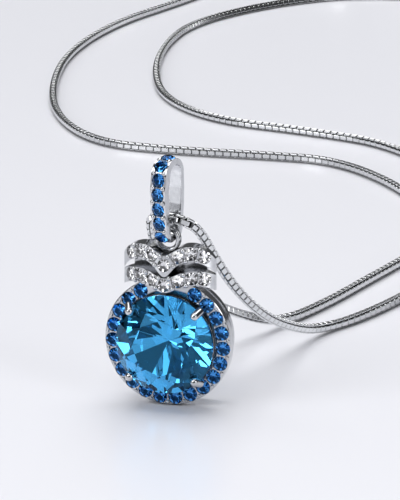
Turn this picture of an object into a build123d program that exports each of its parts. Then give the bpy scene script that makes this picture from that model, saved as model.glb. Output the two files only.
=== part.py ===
from build123d import *
import math
import os

# Bow pendant on a box chain. Millimetres, +Z up, the jewelled front looks along -Y.
# The origin is the middle of the pendant's and bail's footprint, on the surface they stand on.

# ---- centre stone and its claw setting ----
STONE_D = 8.0            # centre stone, round brilliant
GIRDLE_SHARE = 0.03      # girdle thickness of any stone, as a share of its diameter
TABLE_SHARE = 0.57       # table width across corners, as a share of the diameter
CROWN_ANGLE = 34.5
PAVILION_ANGLE = 40.8
STAR_ANGLE = 22.0
STAR_REACH = 0.5         # how far a star facet reaches from table to girdle
LOWER_HALF_REACH = 0.77  # how far a lower half facet reaches from girdle to culet
GIRDLE_RAISE = 0.9       # centre stone's girdle in front of the halo's face
CLAW_COUNT = 4
CLAW_D = 0.7
CLAW_LEAN_OUT = 0.12     # claw axis outside the girdle
CLAW_TIP_IN = 0.22       # claw tip axis inside the girdle
CLAW_TIP_RISE = 0.62
HEAD_WALL = 0.43
HEAD_RIM = 0.22          # the claw head's rim stands this far in front of the halo
SETTING_GAP = 0.02       # stone to metal
SOLDER_GAP = 0.02        # between soldered cylindrical walls

# ---- halo ----
HALO_BORE_INSET = 0.2    # the bore is this much smaller across than the centre stone
HALO_FLANGE_W = 1.3      # bore to rim
HALO_T = 0.75
HALO_STONE_COUNT = 20
HALO_STONE_GAP = 0.109
HALO_EDGE = 0.075        # metal beside the halo stones
HALO_ROW_OUT = 0.02      # the row's circle is this much wider than the flange's middle
HALO_OPEN_ARC = 58.4     # arc at the top that the bow covers, free of stones
GRAIN_D = 0.26
GRAIN_OFFSET = 0.42      # grains each side of the row's centre line
STONE_SINK = 0.03        # small stones' girdle below the metal face

# ---- gallery behind the halo ----
RAIL_INSET = 1.0         # the rail is this much smaller across than the halo
RAIL_T = 0.5
CULET_COVER = 0.0273     # the rail's back behind the centre stone's point
POST_COUNT = 8
POST_D = 0.55

# ---- bow: two nested bands on one bridge ----
BOW_STONE_D = 1.0
# The bow's other sizes are counted in its stones' diameters, heights from the halo's top.
BOW_FRONT = 1.0          # bow's middle in front of the halo's face
BOW_BACK = 0.9           # bow's back behind the halo's face
BOW_BARREL_R = 5.2       # the bands curve back round this radius
BOW_HALF_W = 3.75
UPPER_TOP_EDGE = [(0.0, 2.05), (1.05, 2.6), (2.0, 2.8), (3.0, 2.5), (BOW_HALF_W, 1.7)]
UPPER_LOW_EDGE = [(0.0, 0.32), (0.95, 1.2), (2.1, 1.58), (3.1, 1.22), (BOW_HALF_W, 0.52)]
LOWER_TOP_EDGE = [(0.0, 0.22), (1.1, 0.6), (2.2, 0.84), (3.1, 0.7), (BOW_HALF_W, 0.42)]
LOWER_LOW_EDGE = [(0.0, -0.95), (1.1, -0.6), (2.2, -0.35), (3.1, -0.5), (BOW_HALF_W, -0.85)]
UPPER_STONES = [(0.0, 1.26), (1.07, 1.96), (2.1, 2.23), (3.07, 1.9)]
LOWER_STONES = [(0.0, -0.36), (1.1, 0.0), (2.15, 0.24), (3.1, 0.08)]
BRIDGE_HALF_W = 3.0
BRIDGE_BOTTOM = 0.1
BRIDGE_TOP = 1.6
BRIDGE_CORNER = 0.4
BRIDGE_T = 0.35          # this one in millimetres

# ---- double loop on the bow ----
LOOP_D = 2.1
LOOP_WIRE_D = 0.36
LOOP_FOOT_W = 0.6
LOOP_FOOT_H = 0.05
LOOP_SET_BACK = 0.2      # loop's middle plane behind the halo's face

# ---- bail ----
BAIL_TURN = 16.0         # bail turned about the vertical
BAIL_W = 1.4
BAIL_BACK_W = 0.9
BAIL_FULL_W_FRONT = 0.9  # full width in front of this depth
BAIL_ROUNDS = [          # depth behind the axis, height above the bottom, radius
    (0.0, 1.25, 1.25), (0.0, 3.0, 1.45), (-0.02, 4.2, 1.5), (0.04, 5.4, 1.4),
]
BAIL_WALL = 0.5
BAIL_FRONT_EXTRA = 0.15  # the set front leg is thicker by about this
BAIL_NECK_W = 0.7        # width where the loop runs round it
BAIL_NECK_FRONT = 0.56
BAIL_NECK_H = 1.2
BAIL_STONE_COUNT = 7
BAIL_STONE_PITCH = 1.19
BAIL_STONE_GAP = 0.09
BAIL_EDGE = 0.15         # metal beside the bail stones

# ---- chain ----
CHAIN_D = 0.85
CHAIN_REST_Z = CHAIN_D / 2 + 0.005   # chain centre when it lies on the surface
COURSE_BAIL_H = 13.3     # height of the bail's bottom that the raised points are drawn for
CHAIN_COURSE = [         # between the two end caps
    (-39.5, 172.0, CHAIN_REST_Z), (-45.0, 165.0, CHAIN_REST_Z),
    (-47.3, 153.0, CHAIN_REST_Z), (-50.5, 139.5, CHAIN_REST_Z), (-50.5, 123.0, CHAIN_REST_Z),
    (-47.0, 107.0, CHAIN_REST_Z), (-41.5, 92.0, CHAIN_REST_Z), (-33.5, 81.5, CHAIN_REST_Z),
    (-24.5, 80.6, CHAIN_REST_Z), (-15.5, 81.2, CHAIN_REST_Z), (-8.0, 81.2, CHAIN_REST_Z),
    (0.5, 73.0, CHAIN_REST_Z), (6.0, 63.0, CHAIN_REST_Z), (8.6, 51.5, CHAIN_REST_Z),
    (6.4, 40.0, CHAIN_REST_Z), (4.7, 30.5, CHAIN_REST_Z), (2.6, 23.5, CHAIN_REST_Z),
    (0.6, 18.0, 2.4), (-0.9, 12.2, 5.2), (-1.8, 7.3, 8.4), (-2.1, 3.7, 11.3),
    (-2.0, 1.9, 13.6), (-1.55, 0.4, 15.25), (1.55, -0.48, 15.25), (2.25, 1.35, 13.9),
    (2.7, 3.8, 11.1), (3.5, 6.9, 7.8), (4.6, 11.3, 4.5), (5.6, 17.0, 2.0),
    (6.3, 22.5, CHAIN_REST_Z), (8.6, 27.0, CHAIN_REST_Z), (11.0, 36.0, CHAIN_REST_Z),
    (12.6, 48.0, CHAIN_REST_Z), (10.4, 62.0, CHAIN_REST_Z), (5.2, 76.5, CHAIN_REST_Z),
    (-4.0, 89.3, CHAIN_REST_Z), (-14.0, 92.8, CHAIN_REST_Z), (-24.8, 94.8, CHAIN_REST_Z),
    (-33.0, 103.0, CHAIN_REST_Z), (-38.0, 115.5, CHAIN_REST_Z), (-41.2, 129.0, CHAIN_REST_Z),
    (-42.0, 142.0, CHAIN_REST_Z), (-37.5, 154.0, CHAIN_REST_Z), (-30.5, 163.0, CHAIN_REST_Z),
    (-22.5, 165.5, CHAIN_REST_Z), (-14.5, 165.0, CHAIN_REST_Z), (-8.3, 166.8, CHAIN_REST_Z),
    (-8.0, 172.4, CHAIN_REST_Z), (-13.5, 173.2, CHAIN_REST_Z),
]

# ---- spring ring clasp and chain ends ----
CLASP_CENTRE = (-26.0, 172.5)
CLASP_D = 5.5
CLASP_TUBE_D = 1.2
CLASP_BORE_D = 0.84
BOLT_GAP = 0.05
GAP_START = 35.0         # clasp opening, angles about its centre
GAP_END = 85.0
BOLT_START = 27.0
BOLT_END = 115.0
BOLT_TRAVEL = 56.0
SOCKET_START = 20.0
LUG_ANGLE = 95.0
LUG_HALF_ANGLE = 4.0
LUG_T = 0.3
LUG_REACH = 0.4
SLOT_MARGIN = 3.0
SPRING_START = 175.0
SPRING_END = 212.0
SPRING_D = 0.6
EYE_RING_D = 1.1         # centre line diameter of clasp eye and cap eyelets
EYE_WIRE_D = 0.34
JUMP_RING_D = 2.2        # centre line diameter
JUMP_WIRE_D = 0.36
END_RING_D = 2.7
CLASP_LIFT = 0.15        # clasp tube above the end ring's wire
CAP_WALL = 0.175
CAP_L = 2.0
CAP_BOTTOM_T = 0.4
CAP_GAP = 0.02
CAP_END_SPACE = 0.1      # chain end to the cap's bottom

# ---- worked out ----
STONE_R = STONE_D / 2
HALO_BORE_D = STONE_D - HALO_BORE_INSET
HALO_D = HALO_BORE_D + 2 * HALO_FLANGE_W
HALO_R = HALO_D / 2
HALO_RING_R = (HALO_BORE_D + HALO_FLANGE_W + HALO_ROW_OUT) / 2
HALO_STEP = (360.0 - HALO_OPEN_ARC) / (HALO_STONE_COUNT - 1)
HALO_ANGLES = [90.0 - HALO_OPEN_ARC / 2 - HALO_STEP * index for index in range(HALO_STONE_COUNT)]
HALO_PITCH = 2 * HALO_RING_R * math.sin(math.radians(HALO_STEP / 2))
HALO_STONE_D = min(HALO_PITCH - HALO_STONE_GAP, HALO_FLANGE_W - 2 * HALO_EDGE)
BAIL_STONE_D = min(BAIL_STONE_PITCH - BAIL_STONE_GAP, BAIL_W - 2 * BAIL_EDGE)
RAIL_D = HALO_D - RAIL_INSET
RAIL_BORE_D = HALO_BORE_D
CROWN_H = STONE_R * (1 - TABLE_SHARE) * math.tan(math.radians(CROWN_ANGLE))
PAVILION_H = STONE_D * GIRDLE_SHARE / 2 + STONE_R * math.tan(math.radians(PAVILION_ANGLE))
RAIL_SPACE = PAVILION_H - GIRDLE_RAISE + CULET_COVER - HALO_T - RAIL_T
FRONT_REACH = GIRDLE_RAISE + STONE_D * GIRDLE_SHARE / 2 + CROWN_H
BACK_REACH = HALO_T + RAIL_SPACE + RAIL_T
FACE_Y = (FRONT_REACH - BACK_REACH) / 2
FACE = Plane(origin=(0, FACE_Y, HALO_R), x_dir=(1, 0, 0), z_dir=(0, -1, 0))
BOW_DIP = HALO_R + UPPER_TOP_EDGE[0][1] * BOW_STONE_D
LOOP_Z = HALO_R + BOW_DIP + LOOP_FOOT_H + LOOP_D / 2
LOOP_Y = FACE_Y + LOOP_SET_BACK
BAIL_BOTTOM_Z = LOOP_Z - BAIL_WALL / 2
BAIL_PLACE = Location((0, LOOP_Y, 0), (0, 0, -BAIL_TURN))
CHAIN_STRETCH = BAIL_BOTTOM_Z / COURSE_BAIL_H
CAP_D = CHAIN_D + 2 * CAP_WALL


def facet_plane(p, q, r, inside):
    """Plane through three points with its normal pointing away from the inside point."""
    a = Vector(*p)
    normal = (Vector(*q) - a).cross(Vector(*r) - a).normalized()
    if normal.dot(Vector(*inside) - a) > 0:
        normal = normal * -1
    return Plane(origin=a, z_dir=normal)


def polar(radius, angle, z):
    return (radius * math.cos(math.radians(angle)), radius * math.sin(math.radians(angle)), z)


def slope_plane(radius, angle, z, tilt):
    """Facet plane through a point at the given radius and height, tilted up from level."""
    side = math.sin(math.radians(abs(tilt)))
    normal = polar(side, angle, math.copysign(math.cos(math.radians(tilt)), tilt))
    return Plane(origin=polar(radius, angle, z), z_dir=normal)


def cut_stone(diameter, full_cut=False):
    """Round stone with its girdle at z = 0 and its table up; eight-fold, or a full brilliant."""
    radius = diameter / 2
    half_girdle = diameter * GIRDLE_SHARE / 2
    table_r = radius * TABLE_SHARE
    table_z = half_girdle + (radius - table_r) * math.tan(math.radians(CROWN_ANGLE))
    culet_z = -half_girdle - radius * math.tan(math.radians(PAVILION_ANGLE))
    half_turn = 22.5
    facets = [Plane(origin=(0, 0, table_z), z_dir=(0, 0, 1))]
    for index in range(8):
        main = 45.0 * index
        facets.append(slope_plane(radius, main, half_girdle, CROWN_ANGLE))
        facets.append(slope_plane(radius, main, -half_girdle, -PAVILION_ANGLE))
        if not full_cut:
            continue
        star = main + half_turn
        inner = table_r * math.cos(math.radians(half_turn))
        facets.append(slope_plane(inner, star, table_z, STAR_ANGLE))
        tip_r = inner + (radius - inner) * STAR_REACH
        tip_z = table_z - (tip_r - inner) * math.tan(math.radians(STAR_ANGLE))
        low_r = radius * (1 - LOWER_HALF_REACH)
        low_drop = radius - low_r * math.cos(math.radians(half_turn))
        low_z = -half_girdle - low_drop * math.tan(math.radians(PAVILION_ANGLE))
        for corner in (main, main + 45.0):
            facets.append(facet_plane(polar(radius, corner, half_girdle),
                                      polar(radius, star, half_girdle),
                                      polar(tip_r, star, tip_z), (0, 0, 0)))
            facets.append(facet_plane(polar(radius, corner, -half_girdle),
                                      polar(radius, star, -half_girdle),
                                      polar(low_r, star, low_z), (0, 0, 0)))
    stone = Pos(0, 0, (table_z + culet_z) / 2) * Cylinder(radius, table_z - culet_z)
    for facet in facets:
        stone = split(stone, bisect_by=facet, keep=Keep.BOTTOM)
    return stone.solid()


def seat_cutter(diameter):
    """Conical seat for a small stone, open at the front."""
    radius = diameter / 2 + SETTING_GAP
    drop = radius * math.tan(math.radians(PAVILION_ANGLE))
    half_girdle = diameter * GIRDLE_SHARE / 2
    outline = Polyline((0, -half_girdle - drop - SETTING_GAP), (radius, -half_girdle - SETTING_GAP),
                       (radius, diameter / 2), (0, diameter / 2), close=True)
    return revolve(Plane.XZ * make_face(outline), Axis.Z)


def torus(diameter, wire_d):
    return Torus(diameter / 2, wire_d / 2)


def tube_arc(major_r, tube_r, start, end):
    """Solid bent rod about Z from one angle to another."""
    section = Plane.XZ * Pos(major_r, 0) * Circle(tube_r)
    return Rot(0, 0, start) * revolve(section, Axis.Z, end - start)


def rod(start, end, radius):
    """Round rod between two points."""
    axis = Vector(*end) - Vector(*start)
    plane = Plane(origin=start, z_dir=axis)
    return extrude(plane * Circle(radius), axis.length)


# ---- halo, stones and gallery, drawn on the halo's face: x right, y up, z to the front ----

def make_halo_plate():
    plate = Cylinder(HALO_R, HALO_T, align=(Align.CENTER, Align.CENTER, Align.MAX))
    plate -= Cylinder(HALO_BORE_D / 2, HALO_T, align=(Align.CENTER, Align.CENTER, Align.MAX))
    plate = chamfer(plate.edges().filter_by(GeomType.CIRCLE).group_by(Axis.Z)[-1].sort_by(
        SortBy.LENGTH)[-1], 0.06)
    seat = seat_cutter(HALO_STONE_D)
    plate -= [Pos(*polar(HALO_RING_R, angle, -STONE_SINK)) * seat for angle in HALO_ANGLES]
    grain = Sphere(GRAIN_D / 2)
    for angle in HALO_ANGLES[:-1]:
        middle = angle - HALO_STEP / 2
        for offset in (-GRAIN_OFFSET, GRAIN_OFFSET):
            plate += Pos(*polar(HALO_RING_R + offset, middle, 0)) * grain
    return plate


def make_gallery():
    rail = Cylinder(RAIL_D / 2, RAIL_T) - Cylinder(RAIL_BORE_D / 2, RAIL_T)
    gallery = Pos(0, 0, -HALO_T - RAIL_SPACE - RAIL_T / 2) * rail
    post = Cylinder(POST_D / 2, RAIL_SPACE + RAIL_T / 2, align=(Align.CENTER, Align.CENTER, Align.MAX))
    for index in range(POST_COUNT):
        angle = (index + 0.5) * 360.0 / POST_COUNT
        gallery += Pos(*polar((RAIL_D + RAIL_BORE_D) / 4, angle, -HALO_T)) * post
    return gallery


def make_claw_head():
    outer_r = HALO_BORE_D / 2 - SOLDER_GAP
    length = HALO_T + HEAD_RIM
    top_aligned = (Align.CENTER, Align.CENTER, Align.MIN)
    head = Cylinder(outer_r, length, align=top_aligned)
    head -= Cylinder(outer_r - HEAD_WALL, length, align=top_aligned)
    head = Pos(0, 0, -HALO_T) * head
    root_r = outer_r - HEAD_WALL / 2
    for index in range(CLAW_COUNT):
        angle = (index + 0.5) * 360.0 / CLAW_COUNT
        root = polar(root_r, angle, -HALO_T / 2)
        knee = polar(STONE_R + CLAW_LEAN_OUT, angle, GIRDLE_RAISE)
        tip = polar(STONE_R - CLAW_TIP_IN, angle, GIRDLE_RAISE + CLAW_TIP_RISE)
        head += rod(root, knee, CLAW_D / 2)
        head += Pos(*knee) * Sphere(CLAW_D / 2)
        head += rod(knee, tip, CLAW_D / 2)
        head += Pos(*tip) * Sphere(CLAW_D / 2)
    cavity = scale(cut_stone(STONE_D, full_cut=True), by=(STONE_R + SETTING_GAP) / STONE_R)
    head -= Pos(0, 0, GIRDLE_RAISE) * cavity
    around = Cylinder(HALO_R, HALO_T + SOLDER_GAP, align=top_aligned)
    around -= Cylinder(outer_r, HALO_T + SOLDER_GAP, align=top_aligned)
    return head - Pos(0, 0, -HALO_T) * around


# ---- bow ----

def bow_edge(points):
    """Smooth edge through the points and their mirror images, in the halo face's coordinates."""
    right = [(x * BOW_STONE_D, HALO_R + height * BOW_STONE_D) for x, height in points]
    left = [(-x, y) for x, y in reversed(right[1:])]
    return Spline(*left, *right)


def make_band(top_points, low_points):
    """Arched ribbon, curved back round the barrel and saddled on the halo."""
    top = bow_edge(top_points)
    low = bow_edge(low_points)
    outline = make_face(Wire([top, Line(top @ 1, low @ 1), low, Line(low @ 0, top @ 0)]))
    back = BOW_BACK * BOW_STONE_D
    band = Pos(0, 0, -back) * extrude(outline, (BOW_FRONT + BOW_BACK) * BOW_STONE_D)
    barrel = Rot(90, 0, 0) * Cylinder(BOW_BARREL_R * BOW_STONE_D, 4 * HALO_D)
    band &= Pos(0, 0, (BOW_FRONT - BOW_BARREL_R) * BOW_STONE_D) * barrel
    saddle = Cylinder(HALO_R + SOLDER_GAP, back, align=(Align.CENTER, Align.CENTER, Align.MAX))
    return band - saddle


def bow_places(stations):
    """Places on the barrel for the stones of one band, table outwards."""
    places = []
    for x, height in stations:
        for side in ((1,) if x == 0 else (-1, 1)):
            depth = math.sqrt(BOW_BARREL_R ** 2 - x ** 2)
            normal = Vector(side * x, 0, depth).normalized()
            point = Vector(side * x, height, BOW_FRONT - BOW_BARREL_R + depth) * BOW_STONE_D
            point += Vector(0, HALO_R, 0)
            plane = Plane(origin=point - normal * STONE_SINK, x_dir=(0, 1, 0), z_dir=normal)
            places.append(plane.location)
    return places


def set_stones(body, places, diameter):
    """Metal with its seats cut, and the stones as separate solids."""
    seat = seat_cutter(diameter)
    stone = cut_stone(diameter)
    return body - [place * seat for place in places], [place * stone for place in places]


def make_bridge():
    width = 2 * BRIDGE_HALF_W * BOW_STONE_D
    height = (BRIDGE_TOP - BRIDGE_BOTTOM) * BOW_STONE_D
    outline = RectangleRounded(width, height, BRIDGE_CORNER * BOW_STONE_D)
    middle = HALO_R + (BRIDGE_TOP + BRIDGE_BOTTOM) / 2 * BOW_STONE_D
    return Pos(0, middle, -BOW_BACK * BOW_STONE_D - BRIDGE_T) * extrude(outline, BRIDGE_T)


def make_loop(upper_band):
    """Two wires side by side on a foot that follows the bow's dip."""
    wire = torus(LOOP_D - LOOP_WIRE_D, LOOP_WIRE_D)
    shift = LOOP_WIRE_D * 0.47
    loop = Pos(0, LOOP_Z - HALO_R, shift) * wire + Pos(0, LOOP_Z - HALO_R, -shift) * wire
    foot_h = LOOP_FOOT_H + LOOP_WIRE_D
    foot = Box(LOOP_FOOT_W, foot_h, 2 * LOOP_WIRE_D, align=(Align.CENTER, Align.MIN, Align.CENTER))
    loop += Pos(0, BOW_DIP - LOOP_FOOT_H, 0) * foot
    return Pos(0, 0, -LOOP_SET_BACK) * loop - upper_band


# ---- bail, drawn facing -Y about its own axis, then turned and placed ----

BAIL_H = BAIL_ROUNDS[-1][1] + BAIL_ROUNDS[-1][2]
BAIL_DEPTH = 2 * max(radius for depth, height, radius in BAIL_ROUNDS)


def bail_outline(inset, shift):
    """Tangent outline round the bail's rounds, inset all round. x is depth, y is height."""
    edges = []
    for depth, height, radius in BAIL_ROUNDS:
        centre = (depth + shift * height / BAIL_H, height)
        edges.append((Pos(*centre) * CenterArc((0, 0), radius - inset, 0, 360)).edge())
    return make_hull(edges).face()


def bail_places(outline):
    """Places along the front of the outline from its top down, table outwards."""
    wire = outline.outer_wire()
    steps = 2000
    samples = [wire.position_at(index / steps) for index in range(steps)]
    top = max(range(steps), key=lambda index: samples[index].Y)
    ahead = samples[(top + steps // 20) % steps].X
    direction = 1 if ahead < samples[top].X else -1
    places = []
    for index in range(BAIL_STONE_COUNT):
        share = top / steps + direction * index * BAIL_STONE_PITCH / wire.length
        point = wire.position_at(share % 1.0)
        along = wire.tangent_at(share % 1.0) * direction
        normal = Vector(0, along.Y, -along.X)
        origin = Vector(0, point.X, point.Y) - normal * STONE_SINK
        plane = Plane(origin=origin, x_dir=(1, 0, 0), z_dir=normal)
        places.append(plane.location)
    return places


def make_bail():
    outer = bail_outline(0, 0)
    window = bail_outline(BAIL_WALL, BAIL_FRONT_EXTRA)
    ring = extrude(Plane.YZ * (outer - window), BAIL_W / 2, both=True)
    reach = BAIL_DEPTH / 2 + 1
    taper = Polyline((-BAIL_W / 2, -reach), (BAIL_W / 2, -reach), (BAIL_W / 2, -BAIL_FULL_W_FRONT),
                     (BAIL_BACK_W / 2, reach), (-BAIL_BACK_W / 2, reach),
                     (-BAIL_W / 2, -BAIL_FULL_W_FRONT), close=True)
    ring &= extrude(make_face(taper), BAIL_H)
    neck = Box(BAIL_W, 2 * BAIL_NECK_FRONT, BAIL_NECK_H, align=(Align.MIN, Align.CENTER, Align.MIN))
    ring -= Pos(BAIL_NECK_W / 2, 0, 0) * neck
    ring -= Pos(-BAIL_NECK_W / 2 - BAIL_W, 0, 0) * neck
    return set_stones(ring, bail_places(outer), BAIL_STONE_D)


# ---- chain and clasp ----

END_RING_Z = (END_RING_D + JUMP_WIRE_D) / 2
JUMP_RING_Z = (JUMP_RING_D + JUMP_WIRE_D) / 2
CLASP_Z = JUMP_WIRE_D + CLASP_LIFT + CLASP_TUBE_D / 2
CLASP_R = (CLASP_D - CLASP_TUBE_D) / 2
CAP_Z = CAP_D / 2


def ring_reach(ring_d, ring_z, height):
    """Distance from a standing ring's middle to its wire, at a height."""
    return math.sqrt((ring_d / 2) ** 2 - (height - ring_z) ** 2)


CLASP_X, CLASP_Y = CLASP_CENTRE
EYE_X = CLASP_X - CLASP_D / 2 - EYE_RING_D / 2
JUMP_RING_X = EYE_X - ring_reach(JUMP_RING_D, JUMP_RING_Z, CLASP_Z)
CAP_A_EYE_X = JUMP_RING_X - ring_reach(JUMP_RING_D, JUMP_RING_Z, CAP_Z)
END_RING_X = CLASP_X + CLASP_R + CLASP_TUBE_D / 4
CAP_B_EYE_X = END_RING_X + ring_reach(END_RING_D, END_RING_Z, CAP_Z)
CAP_A_TIP = (CAP_A_EYE_X - EYE_RING_D / 2, CLASP_Y, CAP_Z)
CAP_B_TIP = (CAP_B_EYE_X + EYE_RING_D / 2, CLASP_Y, CAP_Z)


def chain_radii(points):
    """Radius at each corner: 0.45 of the shorter run over the tangent of half the turn."""
    radii = []
    for before, here, after in zip(points, points[1:], points[2:]):
        run_in = Vector(*here) - Vector(*before)
        run_out = Vector(*after) - Vector(*here)
        half_turn = math.radians(run_in.get_angle(run_out)) / 2
        radii.append(0.45 * min(run_in.length, run_out.length) / math.tan(half_turn))
    return radii


def make_chain():
    sink = CAP_BOTTOM_T + CAP_END_SPACE
    first = tuple(Vector(*CAP_A_TIP) + cap_axis(CAP_A_TIP, CHAIN_COURSE[0]) * sink)
    last = tuple(Vector(*CAP_B_TIP) + cap_axis(CAP_B_TIP, CHAIN_COURSE[-1]) * sink)
    raised = [(x, y, z if z == CHAIN_REST_Z else z * CHAIN_STRETCH) for x, y, z in CHAIN_COURSE]
    route = [first, *raised, last]
    radii = chain_radii(route)
    path = FilletPolyline(*route, radius=radii)
    start = Plane(origin=first, z_dir=path % 0)
    tube = sweep(start * Circle(CHAIN_D / 2), path=path)
    expected = math.pi * CHAIN_D ** 2 / 4 * path.length
    print("chain length", round(path.length, 1), "volume share", round(tube.volume / expected, 4))
    print("chain ends", [round(x, 2) for x in first], [round(x, 2) for x in last])
    print("chain radii", [round(radius, 1) for radius in radii])
    return tube


def cap_axis(tip, towards):
    return (Vector(*towards) - Vector(*tip)).normalized()


def make_cap(tip, towards):
    """Chain end cap with its eyelet beyond tip, its mouth towards the chain's next point."""
    plane = Plane(origin=tip, x_dir=(0, 0, 1), z_dir=cap_axis(tip, towards))
    base = (Align.CENTER, Align.CENTER, Align.MIN)
    cap = Cylinder(CAP_D / 2, CAP_L, align=base)
    bore = Cylinder(CHAIN_D / 2 + CAP_GAP, CAP_L, align=base)
    cap -= Pos(0, 0, CAP_BOTTOM_T) * bore
    eyelet = Rot(0, 90, 0) * torus(EYE_RING_D, EYE_WIRE_D)
    cap += Pos(0, 0, -EYE_RING_D / 2) * eyelet
    return plane.location * cap


def make_clasp():
    bolt_r = CLASP_BORE_D / 2 - BOLT_GAP
    body = tube_arc(CLASP_R, CLASP_TUBE_D / 2, GAP_END, GAP_START + 360)
    body -= tube_arc(CLASP_R, CLASP_BORE_D / 2, GAP_END - 1, SPRING_END)
    body -= tube_arc(CLASP_R, CLASP_BORE_D / 2, SOCKET_START, GAP_START + 1)
    slot_start = LUG_ANGLE - LUG_HALF_ANGLE - SLOT_MARGIN
    slot_end = LUG_ANGLE + LUG_HALF_ANGLE + SLOT_MARGIN + BOLT_TRAVEL
    body -= sector(CLASP_R, CLASP_D, LUG_T + 2 * BOLT_GAP, slot_start, slot_end)
    body += Pos(EYE_X - CLASP_X, 0, 0) * torus(EYE_RING_D, EYE_WIRE_D)
    bolt = tube_arc(CLASP_R, bolt_r, BOLT_START, BOLT_END)
    lug_outer = CLASP_D / 2 + LUG_REACH
    lug_inner = CLASP_R + bolt_r * 0.8
    lug = sector(lug_inner, lug_outer, LUG_T, LUG_ANGLE - LUG_HALF_ANGLE, LUG_ANGLE + LUG_HALF_ANGLE)
    spring = tube_arc(CLASP_R, SPRING_D / 2, SPRING_START, SPRING_END)
    place = Pos(CLASP_X, CLASP_Y, CLASP_Z)
    return place * body, place * bolt, place * (lug - bolt), place * spring


def sector(inner_r, outer_r, height, start, end):
    """Flat ring sector about Z."""
    width = outer_r - inner_r
    section = Plane.XZ * Pos(inner_r + width / 2, 0) * Rectangle(width, height)
    return Rot(0, 0, start) * revolve(section, Axis.Z, end - start)


def standing_ring(x, z, ring_d, wire_d):
    return Pos(x, CLASP_Y, z) * Rot(90, 0, 0) * torus(ring_d, wire_d)


def build_nodes():
    nodes = {}
    face = FACE.location
    nodes["halo_plate"] = face * make_halo_plate()
    nodes["gallery_rail"] = face * make_gallery()
    nodes["claw_head"] = face * make_claw_head()
    nodes["centre_stone"] = face * Pos(0, 0, GIRDLE_RAISE) * cut_stone(STONE_D, full_cut=True)
    halo_stone = cut_stone(HALO_STONE_D)
    for number, angle in enumerate(HALO_ANGLES, start=1):
        place = Pos(*polar(HALO_RING_R, angle, -STONE_SINK))
        nodes[f"halo_stone_{number:02d}"] = face * place * halo_stone
    upper, upper_stones = set_stones(make_band(UPPER_TOP_EDGE, UPPER_LOW_EDGE),
                                     bow_places(UPPER_STONES), BOW_STONE_D)
    lower, lower_stones = set_stones(make_band(LOWER_TOP_EDGE, LOWER_LOW_EDGE),
                                     bow_places(LOWER_STONES), BOW_STONE_D)
    nodes["bow_upper_band"] = face * upper
    nodes["bow_lower_band"] = face * lower
    nodes["bow_upper_stones"] = Compound(children=[face * stone for stone in upper_stones])
    nodes["bow_lower_stones"] = Compound(children=[face * stone for stone in lower_stones])
    nodes["bow_bridge"] = face * make_bridge()
    nodes["pendant_loop"] = face * make_loop(upper)
    bail, bail_stones = make_bail()
    place = BAIL_PLACE * Pos(0, 0, BAIL_BOTTOM_Z)
    nodes["bail_frame"] = place * bail
    for number, stone in enumerate(bail_stones, start=1):
        nodes[f"bail_stone_{number}"] = place * stone
    nodes["box_chain"] = make_chain()
    body, bolt, lug, spring = make_clasp()
    nodes["clasp_body"] = body
    nodes["clasp_bolt"] = bolt
    nodes["clasp_thumb_lug"] = lug
    nodes["clasp_spring"] = spring
    nodes["clasp_jump_ring"] = standing_ring(JUMP_RING_X, JUMP_RING_Z, JUMP_RING_D, JUMP_WIRE_D)
    nodes["chain_end_ring"] = standing_ring(END_RING_X, END_RING_Z, END_RING_D, JUMP_WIRE_D)
    nodes["chain_cap_left"] = make_cap(CAP_A_TIP, CHAIN_COURSE[0])
    nodes["chain_cap_right"] = make_cap(CAP_B_TIP, CHAIN_COURSE[-1])
    return nodes


os.makedirs("parts", exist_ok=True)
for name, shape in build_nodes().items():
    export_step(shape, f"parts/{name}.step")
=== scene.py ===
"""Looks of the bow pendant necklace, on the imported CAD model.

Metres, +Z up, the jewelled front looks along -Y.
"""
import math

import bmesh
import bpy
from mathutils import Matrix, Quaternion, Vector


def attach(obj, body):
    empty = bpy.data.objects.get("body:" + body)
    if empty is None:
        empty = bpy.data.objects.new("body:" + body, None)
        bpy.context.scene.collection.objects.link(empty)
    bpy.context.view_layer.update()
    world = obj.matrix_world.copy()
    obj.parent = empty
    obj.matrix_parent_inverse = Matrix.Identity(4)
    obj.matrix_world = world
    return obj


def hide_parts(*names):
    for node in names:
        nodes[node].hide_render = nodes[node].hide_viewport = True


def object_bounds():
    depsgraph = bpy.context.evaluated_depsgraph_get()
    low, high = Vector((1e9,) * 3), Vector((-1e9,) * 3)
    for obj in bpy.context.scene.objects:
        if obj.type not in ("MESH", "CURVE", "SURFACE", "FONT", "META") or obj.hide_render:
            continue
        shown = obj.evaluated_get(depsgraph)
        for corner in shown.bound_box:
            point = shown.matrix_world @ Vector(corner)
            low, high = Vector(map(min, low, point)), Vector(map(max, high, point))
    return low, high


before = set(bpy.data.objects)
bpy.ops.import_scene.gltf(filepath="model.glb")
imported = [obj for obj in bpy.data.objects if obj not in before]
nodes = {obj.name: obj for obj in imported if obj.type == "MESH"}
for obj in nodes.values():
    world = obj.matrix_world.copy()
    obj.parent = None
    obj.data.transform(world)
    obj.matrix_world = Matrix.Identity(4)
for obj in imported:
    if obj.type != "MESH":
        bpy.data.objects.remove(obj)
cad_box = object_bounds()
scene = bpy.context.scene
scene.view_settings.view_transform = "Standard"

# ---- camera ----
AZIMUTH = math.radians(17.0)
ELEVATION = math.radians(15.0)
CAMERA_TARGET = Vector((0.00145, 0.00374, 0.01177))
CAMERA_DISTANCE = 0.300
LENS_MM = 272.16
SENSOR_MM = 36.0

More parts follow.
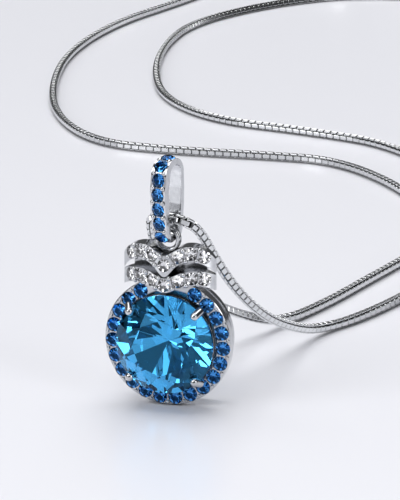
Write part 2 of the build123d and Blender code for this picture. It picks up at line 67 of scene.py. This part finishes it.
# ---- chain ----
LIE = 0.00043            # chain centre above the surface
CHAIN_POINTS = [
    (-0.0323, 0.17247, 0.00059), (-0.0395, 0.172, LIE), (-0.045, 0.165, LIE),
    (-0.0473, 0.153, LIE), (-0.0505, 0.1395, LIE), (-0.0505, 0.123, LIE),
    (-0.047, 0.107, LIE), (-0.0415, 0.092, LIE), (-0.0335, 0.0815, LIE),
    (-0.0245, 0.0806, LIE), (-0.0155, 0.0812, LIE), (-0.008, 0.0812, LIE),
    (0.0005, 0.073, LIE), (0.006, 0.063, LIE), (0.0086, 0.0515, LIE),
    (0.0064, 0.04, LIE), (0.0047, 0.0305, LIE), (0.0026, 0.0235, LIE),
    (0.0006, 0.018, 0.0024), (-0.0009, 0.0122, 0.0052), (-0.0018, 0.0073, 0.0084),
    (-0.0021, 0.0037, 0.0113), (-0.002, 0.0019, 0.0136), (-0.00155, 0.0004, 0.01525),
    (0.00155, -0.00048, 0.01525), (0.00225, 0.00135, 0.0139), (0.0027, 0.0038, 0.0111),
    (0.0035, 0.0069, 0.0078), (0.0046, 0.0113, 0.0045), (0.0056, 0.017, 0.002),
    (0.0063, 0.0225, LIE), (0.0086, 0.027, LIE), (0.011, 0.036, LIE),
    (0.0126, 0.048, LIE), (0.0104, 0.062, LIE), (0.0052, 0.0765, LIE),
    (-0.004, 0.0893, LIE), (-0.014, 0.0928, LIE), (-0.0248, 0.0948, LIE),
    (-0.033, 0.103, LIE), (-0.038, 0.1155, LIE), (-0.0412, 0.129, LIE),
    (-0.042, 0.142, LIE), (-0.0375, 0.154, LIE), (-0.0305, 0.163, LIE),
    (-0.0225, 0.1655, LIE), (-0.0145, 0.165, LIE), (-0.0083, 0.1668, LIE),
    (-0.008, 0.1724, LIE), (-0.0135, 0.1732, LIE), (-0.02152, 0.17254, 0.00059),
]
LINK_SIDE = 0.00078      # outside of the square loop
LINK_STRIP = 0.00040     # width of the strip it is bent from
LINK_WALL = 0.00017      # thickness of that strip
LINK_PITCH = 0.000405    # from one link's middle to the next
LINK_CHAMFER = 0.55      # cut off a corner's outside, as a share of the wall
LINK_INNER_CHAMFER = 0.35   # cut off its inside, as a share of the outside's
LINK_EASE = 0.24         # softened edge of the strip, as a share of the wall
CURVE_STEPS = 24         # steps of the smooth line between two points
CHAIN_TWIST = [          # share of the length, degrees
    (0.0, 0), (0.42, 0), (0.47, 40), (0.52, 40), (0.57, 0), (1.0, 0),
]

# ---- bead grains; sides and rise are shares of the stone they hold ----
GRAIN_R = 0.00021
BOW_GRAIN_SIDE = 0.43
BAIL_GRAIN_SIDE = 0.40
GRAIN_RISE = 0.07
GRAIN_SIDES = 10
GRAIN_PROFILE = [        # half-width and height, as shares of the radius, from the top down
    (0.0, 0.86), (0.38, 0.80), (0.70, 0.60), (0.92, 0.30), (1.0, 0.0), (0.95, -0.45),
]
GRAIN_SMOOTH = 40        # degrees
BAIL_STONES = 7

# ---- materials ----
EDGE_ROUND = 0.00004     # rounding of the metal's edges, in shading
LINK_EDGE_ROUND = 0.00002
PAINTED_SHADE_REACH = 0.00045   # how far round a point the painted recess shade looks
PAINTED_SHADE_LEVEL = 0.12      # brightness of the painted shade at the bottom of a recess
LINE_DEPTH = 0.000004    # depth of the polishing lines
GEM_REFLECTION = 0.3     # specular level of the stones

# ---- floor and light ----
FLOOR_HALF = 5.0
FLOOR_DROP = 0.00001     # floor below the lowest point of the model
FLOOR_TONES = ((0.885, 0.89, 0.945), (0.895, 0.90, 0.955))
FLOOR_ROUGHNESS = (0.265, 0.275)
TENT_COLOUR = (0.93, 0.955, 1.0, 1)
TENT_LEVEL = 0.10
FLAGS = [                # direction, inner and outer half-angle, level inside
    ((0.28, -0.93, 0.26), 10, 20, 0.15),
    ((-0.9, -0.2, 0.2), 14, 30, 0.2),
    ((0.9, 0.35, 0.25), 14, 30, 0.3),
]
LIGHTS = [               # name, place, aim, size, watts
    ("overhead", (-0.32, 0.56, 2.4), (0, 0.1, 0.01), (2.8, 2.3), 56),
    ("front_left", (-1.28, -1.44, 1.04), (0, 0, 0.01), (1.28, 1.2), 17),
    ("front_right", (1.68, -0.96, 0.72), (0, 0, 0.01), (0.48, 1.2), 8),
    ("front_top", (0.08, -1.44, 1.84), (0, 0, 0.01), (1.44, 0.4), 8),
    ("back", (-0.4, 1.92, 1.2), (0, 0.02, 0.01), (1.6, 0.56), 5),
]


def camera_direction():
    """From the target towards the camera."""
    flat = math.cos(ELEVATION)
    return Vector((math.sin(AZIMUTH) * flat, -math.cos(AZIMUTH) * flat, math.sin(ELEVATION)))


def make_camera():
    """The view the necklace is seen from, a long lens a little above the floor."""
    data = bpy.data.cameras.new("camera")
    data.lens = LENS_MM
    data.sensor_width = SENSOR_MM
    data.clip_start = 0.01
    data.clip_end = 20.0
    camera = bpy.data.objects.new("camera", data)
    scene.collection.objects.link(camera)
    camera.location = CAMERA_TARGET + CAMERA_DISTANCE * camera_direction()
    camera.rotation_euler = camera_direction().to_track_quat("Z", "Y").to_euler()
    scene.camera = camera


make_camera()


# ---- chain of square links along the route's smooth line ----

def nurbs_line(name, points):
    """Polyline, as a list of vectors, of the smooth line through the route."""
    data = bpy.data.curves.new(name, "CURVE")
    data.dimensions = "3D"
    data.resolution_u = CURVE_STEPS
    spline = data.splines.new("NURBS")
    spline.points.add(len(points) - 1)
    for point, place in zip(spline.points, points):
        point.co = (*place, 1.0)
    spline.order_u = 3
    spline.use_endpoint_u = True
    curve = bpy.data.objects.new(name, data)
    scene.collection.objects.link(curve)
    bpy.context.view_layer.update()
    mesh = bpy.data.meshes.new_from_object(curve)
    line = [vertex.co.copy() for vertex in mesh.vertices]
    bpy.data.objects.remove(curve)
    bpy.data.curves.remove(data)
    bpy.data.meshes.remove(mesh)
    return line


def stations(line, pitch):
    """Places at even steps along the line: point, direction and a side vector that never twists."""
    lengths = [0.0]
    for a, b in zip(line, line[1:]):
        lengths.append(lengths[-1] + (b - a).length)
    count = int(round(lengths[-1] / pitch))
    step = lengths[-1] / count
    places = []
    index = 0
    side = Vector((0, 0, 1))
    for number in range(count):
        reach = (number + 0.5) * step
        while lengths[index + 1] < reach:
            index += 1
        share = (reach - lengths[index]) / (lengths[index + 1] - lengths[index])
        ahead = (line[index + 1] - line[index]).normalized()
        if places:
            side = places[-1][1].rotation_difference(ahead) @ places[-1][2]
        side = (side - side.dot(ahead) * ahead).normalized()
        places.append((line[index].lerp(line[index + 1], share), ahead, side))
    return places, lengths[-1]


def cut_square(half, cut):
    """Corners of a square with its corners cut off, anticlockwise."""
    short = half - cut
    return [Vector(corner) for corner in
            ((half, short, 0), (short, half, 0), (-short, half, 0), (-half, short, 0),
             (-half, -short, 0), (-short, -half, 0), (short, -half, 0), (half, -short, 0))]


def link_rings():
    """Rings of points round a square loop of strip. X is along the chain, Z along the width."""
    cut = LINK_WALL * LINK_CHAMFER
    ease = LINK_WALL * LINK_EASE
    outsides = cut_square(LINK_SIDE / 2, cut)
    insides = cut_square(LINK_SIDE / 2 - LINK_WALL, cut * LINK_INNER_CHAMFER)
    brim = Vector((0, 0, LINK_STRIP / 2))
    edge = Vector((0, 0, LINK_STRIP / 2 - ease))
    rings = []
    for outer, inner in zip(outsides, insides):
        eased = (inner - outer).normalized() * ease
        rings.append([outer + eased + brim, outer + edge, outer - edge, outer + eased - brim,
                      inner - eased - brim, inner - edge, inner + edge, inner - eased + brim])
    return rings


def mesh_object(name, vertices, faces, smooth_angle=None):
    """Object with its faces turned outwards, shaded smooth up to the angle if there is one."""
    mesh = bpy.data.meshes.new(name)
    mesh.from_pydata(vertices, [], faces)
    mesh.validate()
    built = bmesh.new()
    built.from_mesh(mesh)
    bmesh.ops.recalc_face_normals(built, faces=built.faces)
    built.to_mesh(mesh)
    built.free()
    if smooth_angle is not None:
        mesh.polygons.foreach_set("use_smooth", [True] * len(mesh.polygons))
        mesh.set_sharp_from_angle(angle=math.radians(smooth_angle))
    made = bpy.data.objects.new(name, mesh)
    scene.collection.objects.link(made)
    return made


def twist_at(share):
    """Turn of the chain about itself, in radians, at this share of its length."""
    for (start, first), (end, second) in zip(CHAIN_TWIST, CHAIN_TWIST[1:]):
        if share <= end:
            return math.radians(first + (second - first) * (share - start) / (end - start))
    return 0.0


def make_chain_links(line):
    """Every link in one mesh, each turned a quarter from the one before, and the line's length."""
    rings = link_rings()
    around = len(rings[0])
    places, length = stations(line, LINK_PITCH)
    vertices = []
    faces = []
    for number, (point, ahead, side) in enumerate(places):
        turned = Quaternion(ahead, twist_at(number / len(places))) @ side
        across = turned if number % 2 else ahead.cross(turned)
        turn = Matrix((ahead, across, ahead.cross(across))).transposed()
        base = len(vertices)
        vertices.extend(point + turn @ corner for ring in rings for corner in ring)
        for ring in range(len(rings)):
            low = base + ring * around
            high = base + (ring + 1) % len(rings) * around
            for corner in range(around):
                beside = (corner + 1) % around
                faces.append((low + corner, high + corner, high + beside, low + beside))
    return mesh_object("chain_links", vertices, faces), length


chain_line = nurbs_line("chain_route", CHAIN_POINTS)
chain, chain_length = make_chain_links(chain_line)
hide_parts("box_chain")
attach(chain, "chain")


# ---- materials ----

class Surface:
    """Node material with one Principled shader."""

    def __init__(self, name):
        self.material = bpy.data.materials.new(name)
        self.material.use_nodes = True
        self.tree = self.material.node_tree
        self.shader = self.tree.nodes["Principled BSDF"]
        self.place = self.node("ShaderNodeTexCoord").outputs["Object"]

    def node(self, kind, **settings):
        """New node of this kind, with its own properties set."""
        made = self.tree.nodes.new(kind)
        for key, value in settings.items():
            setattr(made, key, value)
        return made

    def link(self, output, target):
        self.tree.links.new(output, target)

    def noise(self, scale, detail=3.0, stretch=(1, 1, 1), turn=(0, 0, 0)):
        """Noise fixed to the object, if asked drawn out in one direction."""
        mapping = self.node("ShaderNodeMapping")
        mapping.inputs["Scale"].default_value = stretch
        mapping.inputs["Rotation"].default_value = turn
        self.link(self.place, mapping.inputs["Vector"])
        noise = self.node("ShaderNodeTexNoise")
        noise.inputs["Scale"].default_value = scale
        noise.inputs["Detail"].default_value = detail
        self.link(mapping.outputs["Vector"], noise.inputs["Vector"])
        return noise.outputs["Fac"]

    def spread(self, source, low, high, from_low=0.3, from_high=0.7):
        """The source's values laid out from low to high."""
        mapped = self.node("ShaderNodeMapRange")
        for key, value in (("From Min", from_low), ("From Max", from_high),
                           ("To Min", low), ("To Max", high)):
            mapped.inputs[key].default_value = value
        self.link(source, mapped.inputs["Value"])
        return mapped.outputs["Result"]

    def between(self, source, first, second):
        """Colour that goes from the first to the second as the source rises."""
        ramp = self.node("ShaderNodeValToRGB")
        ramp.color_ramp.elements[0].position = 0.15
        ramp.color_ramp.elements[0].color = (*first, 1)
        ramp.color_ramp.elements[1].position = 0.85
        ramp.color_ramp.elements[1].color = (*second, 1)
        self.link(source, ramp.inputs["Fac"])
        return ramp.outputs["Color"]

    def bump(self, source, height, strength, rounded):
        """Fine relief over edges that are rounded by the given radius."""
        bump = self.node("ShaderNodeBump")
        bump.inputs["Distance"].default_value = height
        bump.inputs["Strength"].default_value = strength
        self.link(source, bump.inputs["Height"])
        bevel = self.node("ShaderNodeBevel", samples=6)
        bevel.inputs["Radius"].default_value = rounded
        self.link(bevel.outputs["Normal"], bump.inputs["Normal"])
        self.link(bump.outputs["Normal"], self.shader.inputs["Normal"])


def metal(name, dark, light, roughness, scale, rounded):
    """Polished plated silver: cloudiness, polishing lines, softened edges and painted shade
    darkening its recesses.
    """
    surface = Surface(name)
    surface.shader.inputs["Metallic"].default_value = 1.0
    # painted shade: ambient occlusion darkens the silver's colour in recesses, creases and between
    # parts
    shade = surface.node("ShaderNodeAmbientOcclusion", samples=6)
    shade.inputs["Distance"].default_value = PAINTED_SHADE_REACH
    painted_shade = surface.spread(shade.outputs["AO"], PAINTED_SHADE_LEVEL, 1.0, 0.25, 0.85)
    tinted = surface.node("ShaderNodeMix", data_type="RGBA", blend_type="MULTIPLY")
    tinted.inputs["Factor"].default_value = 1.0
    surface.link(surface.between(surface.noise(scale), dark, light), tinted.inputs["A"])
    surface.link(painted_shade, tinted.inputs["B"])
    surface.link(tinted.outputs["Result"], surface.shader.inputs["Base Color"])
    lines = surface.noise(scale * 4, 4.0, (1, 1, 9), (0.35, 0.2, 0.0))
    surface.link(surface.spread(lines, *roughness), surface.shader.inputs["Roughness"])
    surface.bump(lines, LINE_DEPTH, 0.25, rounded)
    return surface.material


def gem(name, deep, bright, ior, scale):
    """Cut stone: glass whose tint drifts slightly, with a faint film and tinted reflections."""
    surface = Surface(name)
    surface.shader.inputs["Transmission Weight"].default_value = 1.0
    surface.shader.inputs["IOR"].default_value = ior
    surface.shader.inputs["Specular IOR Level"].default_value = GEM_REFLECTION
    surface.shader.inputs["Specular Tint"].default_value = (*bright, 1)
    surface.link(surface.between(surface.noise(scale, 2.0), deep, bright),
                 surface.shader.inputs["Base Color"])
    surface.link(surface.spread(surface.noise(scale * 6, 2.0), 0.0, 0.012),
                 surface.shader.inputs["Roughness"])
    return surface.material


silver = metal("plated_silver", dark=(0.48, 0.49, 0.51), light=(0.68, 0.69, 0.71),
               roughness=(0.06, 0.15), scale=2600, rounded=EDGE_ROUND)
chain_metal = metal("chain_silver", dark=(0.60, 0.61, 0.62), light=(0.74, 0.75, 0.76),
                    roughness=(0.12, 0.24), scale=3200, rounded=LINK_EDGE_ROUND)
clasp_metal = metal("clasp_silver", dark=(0.66, 0.67, 0.69), light=(0.80, 0.81, 0.83),
                    roughness=(0.09, 0.2), scale=2600, rounded=EDGE_ROUND)
centre_glass = gem("centre_gem", deep=(0.05, 0.42, 0.95), bright=(0.10, 0.53, 1.0),
                   ior=1.8, scale=350)
blue_glass = gem("blue_gem", deep=(0.03, 0.21, 0.72), bright=(0.10, 0.40, 0.97),
                 ior=1.77, scale=900)
clear_glass = gem("clear_gem", deep=(0.93, 0.94, 0.97), bright=(1.0, 1.0, 1.0),
                  ior=2.1, scale=900)


def finish_of(name):
    """Material of a CAD node."""
    if name == "centre_stone":
        return centre_glass
    if name.startswith(("halo_stone", "bail_stone")):
        return blue_glass
    if name.endswith("_stones"):
        return clear_glass
    if name.startswith(("clasp", "chain")):
        return clasp_metal
    return silver


for name, node in nodes.items():
    node.data.materials.clear()
    node.data.materials.append(finish_of(name))
chain.data.materials.append(chain_metal)


# ---- bead grains that hold the bow's and the bail's stones ----

def islands(mesh):
    """Groups of polygons that share corners, by place."""
    keys = [tuple(round(x * 1e7) for x in vertex.co) for vertex in mesh.vertices]
    root = {key: key for key in keys}

    def find(key):
        while root[key] != key:
            root[key] = root[root[key]]
            key = root[key]
        return key

    for polygon in mesh.polygons:
        first = find(keys[polygon.vertices[0]])
        for index in polygon.vertices[1:]:
            root[find(keys[index])] = first
    groups = {}
    for polygon in mesh.polygons:
        groups.setdefault(find(keys[polygon.vertices[0]]), []).append(polygon)
    return list(groups.values())


def stone_seat(mesh, polygons):
    """Centre of the girdle, table normal and diameter of one cut stone."""
    points = [mesh.vertices[index].co for polygon in polygons for index in polygon.vertices]
    centre = sum(points, Vector()) / len(points)
    normals = {}
    for polygon in polygons:
        key = tuple(round(x, 2) for x in polygon.normal)
        area, total = normals.get(key, (0.0, Vector()))
        normals[key] = (area + polygon.area, total + polygon.normal * polygon.area)
    area, total = max(normals.values(), key=lambda entry: entry[0])
    normal = total.normalized()
    heights = [(point - centre).dot(normal) for point in points]
    reaches = [(point - centre - height * normal).length for point, height in zip(points, heights)]
    widest = max(reaches)
    middle = [height for height, reach in zip(heights, reaches) if reach > 0.97 * widest]
    girdle = sum(middle) / len(middle)
    return centre + normal * girdle, normal, 2 * widest


def grain_mesh(place, normal, vertices, faces):
    """One bead, half sunk, its top a little flattened by the burnisher."""
    turn = normal.to_track_quat("Z", "Y")
    top, *rings = GRAIN_PROFILE
    first = len(vertices) + 1
    vertices.append(place + turn @ Vector((0, 0, top[1] * GRAIN_R)))
    for width, height in rings:
        for step in range(GRAIN_SIDES):
            angle = 2 * math.pi * step / GRAIN_SIDES
            corner = Vector((width * math.cos(angle), width * math.sin(angle), height)) * GRAIN_R
            vertices.append(place + turn @ corner)
    for step in range(GRAIN_SIDES):
        beside = (step + 1) % GRAIN_SIDES
        faces.append((first - 1, first + step, first + beside))
        for ring in range(len(rings) - 1):
            low = first + ring * GRAIN_SIDES
            high = low + GRAIN_SIDES
            faces.append((low + step, high + step, high + beside, low + beside))
    last = first + (len(rings) - 1) * GRAIN_SIDES
    faces.append(tuple(last + step for step in range(GRAIN_SIDES)))


def make_grains(name, body, seats, side_share):
    """Beads on both sides of each gap between neighbouring stones."""
    vertices = []
    faces = []
    diameter = seats[0][2]
    for (place, normal, _), (next_place, next_normal, _) in zip(seats, seats[1:]):
        upright = (normal + next_normal).normalized()
        middle = (place + next_place) / 2 + upright * GRAIN_RISE * diameter
        side = upright.cross(next_place - place).normalized()
        for sign in (-1, 1):
            grain_mesh(middle + side * sign * side_share * diameter, upright, vertices, faces)
    made = mesh_object(name, vertices, faces, GRAIN_SMOOTH)
    made.data.materials.append(silver)
    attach(made, body)


for band in ("bow_upper", "bow_lower"):
    mesh = nodes[f"{band}_stones"].data
    seats = sorted((stone_seat(mesh, group) for group in islands(mesh)), key=lambda seat: seat[0].x)
    make_grains(f"{band}_grains", "pendant", seats, BOW_GRAIN_SIDE)
bail_seats = []
for number in range(1, BAIL_STONES + 1):
    mesh = nodes[f"bail_stone_{number}"].data
    bail_seats.append(stone_seat(mesh, mesh.polygons))
make_grains("bail_grains", "bail", bail_seats, BAIL_GRAIN_SIDE)


# ---- floor, light ----

def make_floor():
    """Plain pale floor that hardly changes in tone."""
    built = bmesh.new()
    bmesh.ops.create_grid(built, x_segments=8, y_segments=8, size=FLOOR_HALF)
    mesh = bpy.data.meshes.new("floor")
    built.to_mesh(mesh)
    built.free()
    floor = bpy.data.objects.new("floor", mesh)
    floor.location = (0, 0, cad_box[0][2] - FLOOR_DROP)
    scene.collection.objects.link(floor)
    surface = Surface("floor")
    surface.link(surface.between(surface.noise(2, 1.0), *FLOOR_TONES),
                 surface.shader.inputs["Base Color"])
    surface.link(surface.spread(surface.noise(40, 2.0), *FLOOR_ROUGHNESS, 0.0, 1.0),
                 surface.shader.inputs["Roughness"])
    floor.data.materials.append(surface.material)


def make_world():
    """Dim tent round the stage, with darker flags that give the stones and the metal contrast."""
    world = bpy.data.worlds.new("studio")
    scene.world = world
    world.use_nodes = True
    tree = world.node_tree
    background = tree.nodes["Background"]
    direction = tree.nodes.new("ShaderNodeTexCoord").outputs["Generated"]
    light = None
    for aim, inner, outer, level in FLAGS:
        dot = tree.nodes.new("ShaderNodeVectorMath")
        dot.operation = "DOT_PRODUCT"
        dot.inputs[1].default_value = Vector(aim).normalized()
        tree.links.new(direction, dot.inputs[0])
        flag = tree.nodes.new("ShaderNodeMapRange")
        flag.interpolation_type = "SMOOTHSTEP"
        for key, value in (("From Min", math.cos(math.radians(outer))),
                           ("From Max", math.cos(math.radians(inner))),
                           ("To Min", 1.0), ("To Max", level)):
            flag.inputs[key].default_value = value
        tree.links.new(dot.outputs["Value"], flag.inputs["Value"])
        if light is None:
            light = flag.outputs["Result"]
            continue
        product = tree.nodes.new("ShaderNodeMath")
        product.operation = "MULTIPLY"
        tree.links.new(light, product.inputs[0])
        tree.links.new(flag.outputs["Result"], product.inputs[1])
        light = product.outputs["Value"]
    strength = tree.nodes.new("ShaderNodeMath")
    strength.operation = "MULTIPLY"
    strength.inputs[1].default_value = TENT_LEVEL
    tree.links.new(light, strength.inputs[0])
    tree.links.new(strength.outputs["Value"], background.inputs["Strength"])
    background.inputs["Color"].default_value = TENT_COLOUR


def area_light(name, place, aim, size, power):
    """Large soft light that the camera doesn't see."""
    data = bpy.data.lights.new(name, "AREA")
    data.shape = "RECTANGLE"
    data.size, data.size_y = size
    data.energy = power
    lamp = bpy.data.objects.new(name, data)
    scene.collection.objects.link(lamp)
    lamp.location = place
    lamp.visible_camera = False
    lamp.rotation_euler = (Vector(place) - Vector(aim)).to_track_quat("Z", "Y").to_euler()


make_floor()
make_world()
for light_row in LIGHTS:
    area_light(*light_row)
